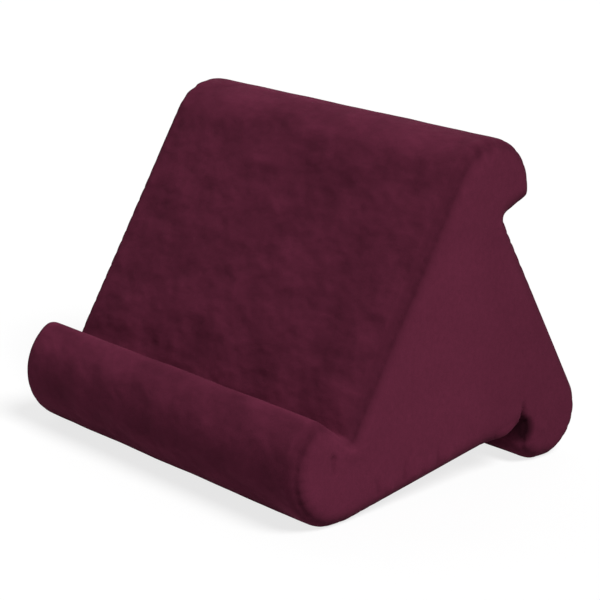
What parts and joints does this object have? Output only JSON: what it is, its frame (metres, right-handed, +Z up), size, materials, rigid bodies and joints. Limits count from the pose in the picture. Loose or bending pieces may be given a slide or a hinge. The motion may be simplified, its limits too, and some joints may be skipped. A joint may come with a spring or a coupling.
{
  "type": "tablet cushion stand",
  "caption": "Soft wedge-shaped cushion with three rounded lips that props a tablet or book at a choice of angles, in a sewn velvet cover with a zip underneath.",
  "frame": {"origin": "on the table, under the middle of the stand's bounding box", "axes": "+X along the stand's width, to the right seen from the tablet's side; +Y to the back; +Z up"},
  "size_m": [0.282, 0.2506, 0.2204],
  "materials": {
    "velvet": "short-pile velvet, wine red",
    "foam": "open-cell foam",
    "zip_tape": "woven tape",
    "zip_coil": "dyed nylon coil",
    "zip_metal": "satin plated zinc"
  },
  "bodies": {
    "cushion": {"foam_core": "foam", "face_panel": "velvet", "rear_panel": "velvet", "base_panel": "velvet", "base_rear_strip": "velvet", "right_end_panel": "velvet", "left_end_panel": "velvet", "zip_tape_front": "zip_tape", "zip_tape_rear": "zip_tape", "zip_coil_front": "zip_coil", "zip_coil_rear": "zip_coil"},
    "slider": {"zip_slider": "zip_metal"},
    "pull": {"zip_pull": "zip_metal"}
  },
  "joints": [
    {"name": "zip_slide", "type": "slide", "parent": "cushion", "child": "slider", "axis": [1, 0, 0], "range_m": [0, 0.238]},
    {"name": "pull_swing", "type": "hinge", "parent": "slider", "child": "pull", "pos_m": [-0.12, 0.04222, 0.01928], "axis": [0, -0.9843, -0.1764], "range_deg": [-85, 85]}
  ]
}
